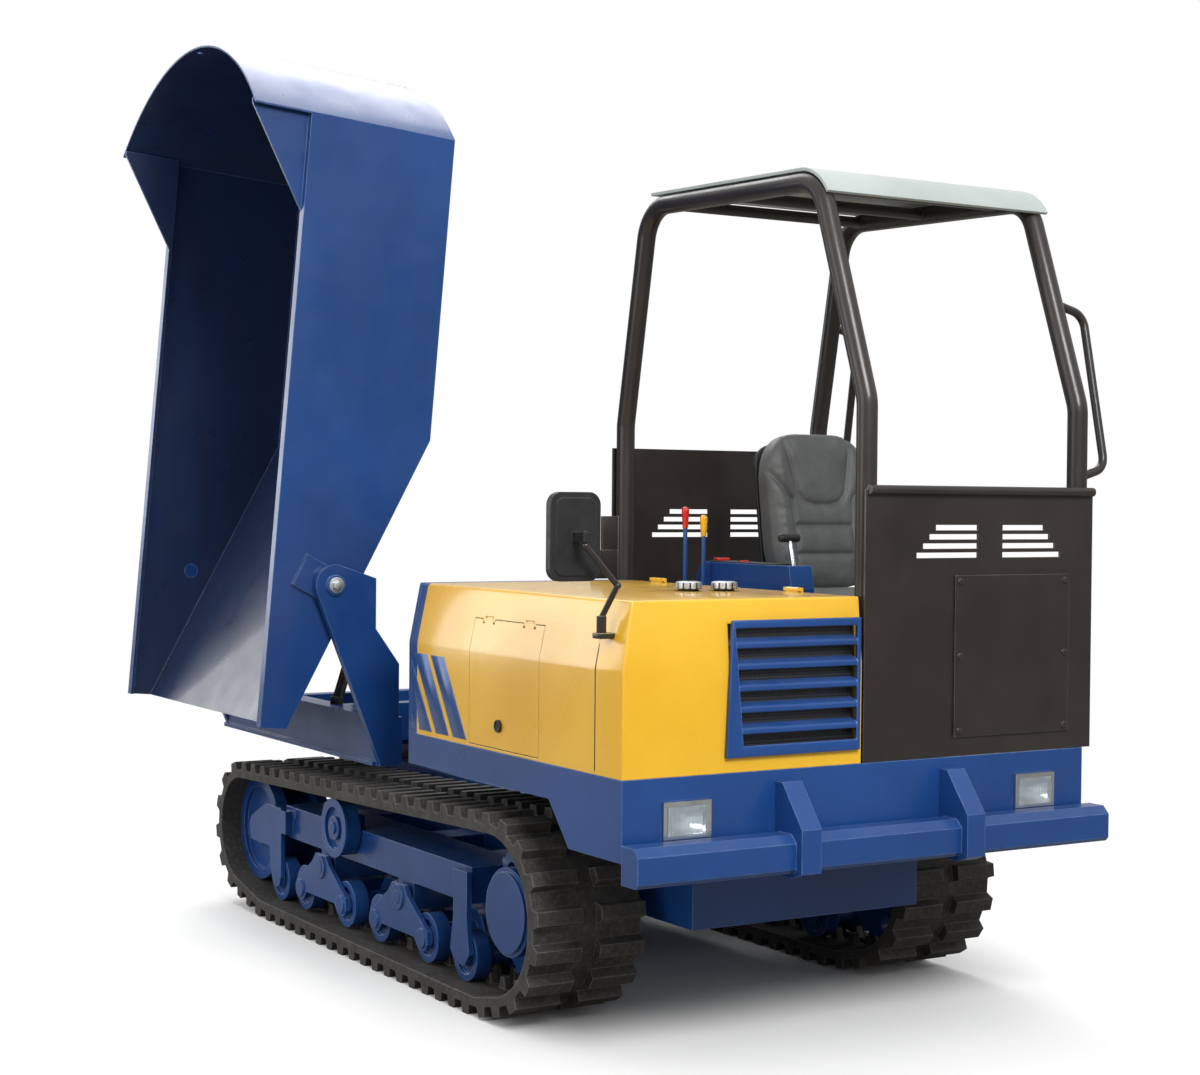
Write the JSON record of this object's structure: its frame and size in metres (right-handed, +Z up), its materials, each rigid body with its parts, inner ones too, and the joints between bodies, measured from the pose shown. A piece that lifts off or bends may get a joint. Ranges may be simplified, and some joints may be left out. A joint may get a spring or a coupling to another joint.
{
  "type": "tracked carrier with slewing skip",
  "caption": "Compact rubber-tracked carrier with an open cab beside its engine bonnet and a deep skip that slews on a turntable and tips on a telescopic cylinder.",
  "frame": {"origin": "on the ground, midway between the tracks, below the middle of the belts' length", "axes": "+X towards the bumper end, +Y towards the entry side of the cab, +Z up"},
  "size_m": [3.144, 2.0784, 3.0193],
  "materials": {
    "blue_paint": "mid blue gloss coat over plate, worn at the edges",
    "yellow_paint": "warm yellow gloss coat over sheet",
    "black_paint": "black satin coat over tube and sheet",
    "roof_paint": "light grey coat over sheet",
    "track_rubber": "dull black rubber with grey dust",
    "hose_rubber": "smooth black hose rubber",
    "lamp_chrome": "bright reflector and bezel",
    "lamp_glass": "clear fluted lens",
    "seat_vinyl": "dark grey grained vinyl over foam",
    "engine_iron": "dark cast and machined iron",
    "black_plastic": "moulded black plastic",
    "red_plastic": "glossy red plastic knob",
    "yellow_plastic": "glossy yellow plastic knob",
    "bright_rod": "plated and ground cylinder rod"
  },
  "bodies": {
    "machine": {"chassis": "blue_paint", "front_bumper": "blue_paint", "headlamp_housings": "lamp_chrome", "headlamp_lenses": "lamp_glass", "track_frame_right": "blue_paint", "track_frame_left": "blue_paint", "track_belt_right": "track_rubber", "track_belt_left": "track_rubber", "bonnet_shell": "yellow_paint", "radiator_grille": "blue_paint", "engine": "engine_iron", "fluid_tanks": "black_plastic", "rops_frame": "black_paint", "canopy_roof": "roof_paint", "front_panel": "black_paint", "rear_panel": "black_paint", "access_cover": "black_paint", "seat_base": "black_paint", "control_console": "blue_paint", "slew_ring": "engine_iron"},
    "turntable": {"swivel_platform": "blue_paint", "hydraulic_hoses": "hose_rubber"},
    "seat": {"seat_frame": "black_paint", "seat_cushion": "seat_vinyl"},
    "sprocket_right": {"sprocket_right": "blue_paint"},
    "sprocket_left": {"sprocket_left": "blue_paint"},
    "idler_right": {"idler_right": "blue_paint"},
    "idler_left": {"idler_left": "blue_paint"},
    "bogie_rear_right": {"bogie_rear_right": "blue_paint"},
    "bogie_front_right": {"bogie_front_right": "blue_paint"},
    "bogie_rear_left": {"bogie_rear_left": "blue_paint"},
    "bogie_front_left": {"bogie_front_left": "blue_paint"},
    "roller_1_right": {"roller_1_right": "blue_paint"},
    "roller_2_right": {"roller_2_right": "blue_paint"},
    "roller_3_right": {"roller_3_right": "blue_paint"},
    "roller_4_right": {"roller_4_right": "blue_paint"},
    "roller_5_right": {"roller_5_right": "blue_paint"},
    "roller_6_right": {"roller_6_right": "blue_paint"},
    "roller_1_left": {"roller_1_left": "blue_paint"},
    "roller_2_left": {"roller_2_left": "blue_paint"},
    "roller_3_left": {"roller_3_left": "blue_paint"},
    "roller_4_left": {"roller_4_left": "blue_paint"},
    "roller_5_left": {"roller_5_left": "blue_paint"},
    "roller_6_left": {"roller_6_left": "blue_paint"},
    "carrier_roller_right": {"carrier_roller_right": "blue_paint"},
    "carrier_roller_left": {"carrier_roller_left": "blue_paint"},
    "engine_hood": {"engine_hood": "yellow_paint"},
    "service_door": {"service_door": "yellow_paint"},
    "cooling_fan": {"cooling_fan": "black_plastic"},
    "seat_backrest": {"seat_backrest": "seat_vinyl"},
    "red_lever": {"red_lever": "red_plastic"},
    "yellow_lever": {"yellow_lever": "yellow_plastic"},
    "travel_lever": {"travel_lever": "black_paint"},
    "horn_button": {"horn_button": "red_plastic"},
    "mirror_arm": {"mirror_arm": "black_paint"},
    "mirror_head": {"mirror_head": "black_plastic"},
    "skip": {"skip": "blue_paint"},
    "cylinder_barrel": {"cylinder_barrel": "black_paint"},
    "cylinder_stage": {"cylinder_stage": "bright_rod"},
    "cylinder_rod": {"cylinder_rod": "bright_rod"}
  },
  "joints": [
    {"name": "skip_swivel", "type": "hinge", "parent": "machine", "child": "turntable", "pos_m": [-0.7, 0, 0.6], "axis": [0, 0, -1], "range_deg": [0, 180]},
    {"name": "skip_tip", "type": "hinge", "parent": "turntable", "child": "skip", "pos_m": [-0.7, -0.88, 1.213], "axis": [-1, 0, 0], "range_deg": [0, 85.2]},
    {"name": "rod_swing", "type": "hinge", "parent": "skip", "child": "cylinder_rod", "pos_m": [-0.7, -0.60996, 1.4412], "axis": [-1, 0, 0], "range_deg": [-108.9, 0]},
    {"name": "stage_slide", "type": "slide", "parent": "cylinder_rod", "child": "cylinder_stage", "axis": [0, -0.2359, 0.9718], "range_m": [0, 0.2163]},
    {"name": "barrel_slide", "type": "slide", "parent": "cylinder_stage", "child": "cylinder_barrel", "axis": [0, -0.2359, 0.9718], "range_m": [0, 0.2163]},
    {"name": "sprocket_right_spin", "type": "hinge", "parent": "machine", "child": "sprocket_right", "pos_m": [0.935, -0.645, 0.312], "axis": [0, 1, 0], "continuous": true},
    {"name": "idler_right_spin", "type": "hinge", "parent": "machine", "child": "idler_right", "pos_m": [-0.98, -0.645, 0.287], "axis": [0, 1, 0], "continuous": true},
    {"name": "carrier_right_spin", "type": "hinge", "parent": "machine", "child": "carrier_roller_right", "pos_m": [-0.19, -0.645, 0.4], "axis": [0, 1, 0], "continuous": true},
    {"name": "bogie_rear_right_rock", "type": "hinge", "parent": "machine", "child": "bogie_rear_right", "pos_m": [-0.37, -0.645, 0.24], "axis": [0, 1, 0], "range_deg": [-2, 2]},
    {"name": "bogie_front_right_rock", "type": "hinge", "parent": "machine", "child": "bogie_front_right", "pos_m": [0.235, -0.645, 0.24], "axis": [0, 1, 0], "range_deg": [-2, 2]},
    {"name": "roller_1_right_spin", "type": "hinge", "parent": "machine", "child": "roller_1_right", "pos_m": [-0.762, -0.645, 0.1355], "axis": [0, 1, 0], "continuous": true},
    {"name": "roller_2_right_spin", "type": "hinge", "parent": "bogie_rear_right", "child": "roller_2_right", "pos_m": [-0.54, -0.645, 0.141], "axis": [0, 1, 0], "continuous": true},
    {"name": "roller_3_right_spin", "type": "hinge", "parent": "bogie_rear_right", "child": "roller_3_right", "pos_m": [-0.2, -0.645, 0.141], "axis": [0, 1, 0], "continuous": true},
    {"name": "roller_4_right_spin", "type": "hinge", "parent": "bogie_front_right", "child": "roller_4_right", "pos_m": [0.065, -0.645, 0.141], "axis": [0, 1, 0], "continuous": true},
    {"name": "roller_5_right_spin", "type": "hinge", "parent": "bogie_front_right", "child": "roller_5_right", "pos_m": [0.405, -0.645, 0.141], "axis": [0, 1, 0], "continuous": true},
    {"name": "roller_6_right_spin", "type": "hinge", "parent": "machine", "child": "roller_6_right", "pos_m": [0.66, -0.645, 0.1355], "axis": [0, 1, 0], "continuous": true},
    {"name": "sprocket_left_spin", "type": "hinge", "parent": "machine", "child": "sprocket_left", "pos_m": [0.935, 0.645, 0.312], "axis": [0, 1, 0], "continuous": true},
    {"name": "idler_left_spin", "type": "hinge", "parent": "machine", "child": "idler_left", "pos_m": [-0.98, 0.645, 0.287], "axis": [0, 1, 0], "continuous": true},
    {"name": "carrier_left_spin", "type": "hinge", "parent": "machine", "child": "carrier_roller_left", "pos_m": [-0.19, 0.645, 0.4], "axis": [0, 1, 0], "continuous": true},
    {"name": "bogie_rear_left_rock", "type": "hinge", "parent": "machine", "child": "bogie_rear_left", "pos_m": [-0.37, 0.645, 0.24], "axis": [0, 1, 0], "range_deg": [-2, 2]},
    {"name": "bogie_front_left_rock", "type": "hinge", "parent": "machine", "child": "bogie_front_left", "pos_m": [0.235, 0.645, 0.24], "axis": [0, 1, 0], "range_deg": [-2, 2]},
    {"name": "roller_1_left_spin", "type": "hinge", "parent": "machine", "child": "roller_1_left", "pos_m": [-0.762, 0.645, 0.1355], "axis": [0, 1, 0], "continuous": true},
    {"name": "roller_2_left_spin", "type": "hinge", "parent": "bogie_rear_left", "child": "roller_2_left", "pos_m": [-0.54, 0.645, 0.141], "axis": [0, 1, 0], "continuous": true},
    {"name": "roller_3_left_spin", "type": "hinge", "parent": "bogie_rear_left", "child": "roller_3_left", "pos_m": [-0.2, 0.645, 0.141], "axis": [0, 1, 0], "continuous": true},
    {"name": "roller_4_left_spin", "type": "hinge", "parent": "bogie_front_left", "child": "roller_4_left", "pos_m": [0.065, 0.645, 0.141], "axis": [0, 1, 0], "continuous": true},
    {"name": "roller_5_left_spin", "type": "hinge", "parent": "bogie_front_left", "child": "roller_5_left", "pos_m": [0.405, 0.645, 0.141], "axis": [0, 1, 0], "continuous": true},
    {"name": "roller_6_left_spin", "type": "hinge", "parent": "machine", "child": "roller_6_left", "pos_m": [0.66, 0.645, 0.1355], "axis": [0, 1, 0], "continuous": true},
    {"name": "hood_lift", "type": "hinge", "parent": "machine", "child": "engine_hood", "pos_m": [0.9, -0.034, 1.24], "axis": [-1, 0, 0], "range_deg": [0, 50]},
    {"name": "door_lift", "type": "hinge", "parent": "engine_hood", "child": "service_door", "pos_m": [0.975, -0.786, 1.147], "axis": [-1, 0, 0], "range_deg": [0, 100]},
    {"name": "fan_spin", "type": "hinge", "parent": "machine", "child": "cooling_fan", "pos_m": [1.32, -0.26, 1], "axis": [1, 0, 0], "continuous": true},
    {"name": "seat_slide", "type": "slide", "parent": "machine", "child": "seat", "axis": [1, 0, 0], "range_m": [-0.06, 0.06]},
    {"name": "backrest_recline", "type": "hinge", "parent": "seat", "child": "seat_backrest", "pos_m": [0.775, 0.49, 1.19], "axis": [0, -1, 0], "range_deg": [-3, 25]},
    {"name": "red_lever_push", "type": "hinge", "parent": "machine", "child": "red_lever", "pos_m": [0.6, 0.06, 1.164], "axis": [0, 1, 0], "range_deg": [-12, 12]},
    {"name": "yellow_lever_push", "type": "hinge", "parent": "machine", "child": "yellow_lever", "pos_m": [0.66, 0.09, 1.164], "axis": [0, 1, 0], "range_deg": [-12, 12]},
    {"name": "travel_lever_push", "type": "hinge", "parent": "machine", "child": "travel_lever", "pos_m": [1.05, 0.1635, 1.27], "axis": [0, 1, 0], "range_deg": [-10, 10]},
    {"name": "horn_press", "type": "slide", "parent": "machine", "child": "horn_button", "axis": [0, 0, -1], "range_m": [0, 0.004], "stiffness_N_per_m": 800, "springref_m": -0.004},
    {"name": "mirror_swing", "type": "hinge", "parent": "machine", "child": "mirror_arm", "pos_m": [1.53, -0.812, 1.15], "axis": [0, 0, 1], "range_deg": [-5, 70]},
    {"name": "mirror_turn", "type": "hinge", "parent": "mirror_arm", "child": "mirror_head", "pos_m": [1.59, -0.898, 1.4], "axis": [0, 0, 1], "range_deg": [-12, 12]}
  ],
  "couplings": [
    {"joint": "rod_swing", "follows": "skip_tip", "ratio": -1.277},
    {"joint": "stage_slide", "follows": "skip_tip", "m_per_rad": 0.14537},
    {"joint": "barrel_slide", "follows": "skip_tip", "m_per_rad": 0.14537},
    {"joint": "idler_right_spin", "follows": "sprocket_right_spin", "ratio": 1.2413},
    {"joint": "carrier_right_spin", "follows": "sprocket_right_spin", "ratio": 2.5109},
    {"joint": "roller_1_right_spin", "follows": "sprocket_right_spin", "ratio": 3.0395},
    {"joint": "roller_2_right_spin", "follows": "sprocket_right_spin", "ratio": 3.0395},
    {"joint": "roller_3_right_spin", "follows": "sprocket_right_spin", "ratio": 3.0395},
    {"joint": "roller_4_right_spin", "follows": "sprocket_right_spin", "ratio": 3.0395},
    {"joint": "roller_5_right_spin", "follows": "sprocket_right_spin", "ratio": 3.0395},
    {"joint": "roller_6_right_spin", "follows": "sprocket_right_spin", "ratio": 3.0395},
    {"joint": "idler_left_spin", "follows": "sprocket_left_spin", "ratio": 1.2413},
    {"joint": "carrier_left_spin", "follows": "sprocket_left_spin", "ratio": 2.5109},
    {"joint": "roller_1_left_spin", "follows": "sprocket_left_spin", "ratio": 3.0395},
    {"joint": "roller_2_left_spin", "follows": "sprocket_left_spin", "ratio": 3.0395},
    {"joint": "roller_3_left_spin", "follows": "sprocket_left_spin", "ratio": 3.0395},
    {"joint": "roller_4_left_spin", "follows": "sprocket_left_spin", "ratio": 3.0395},
    {"joint": "roller_5_left_spin", "follows": "sprocket_left_spin", "ratio": 3.0395},
    {"joint": "roller_6_left_spin", "follows": "sprocket_left_spin", "ratio": 3.0395}
  ]
}
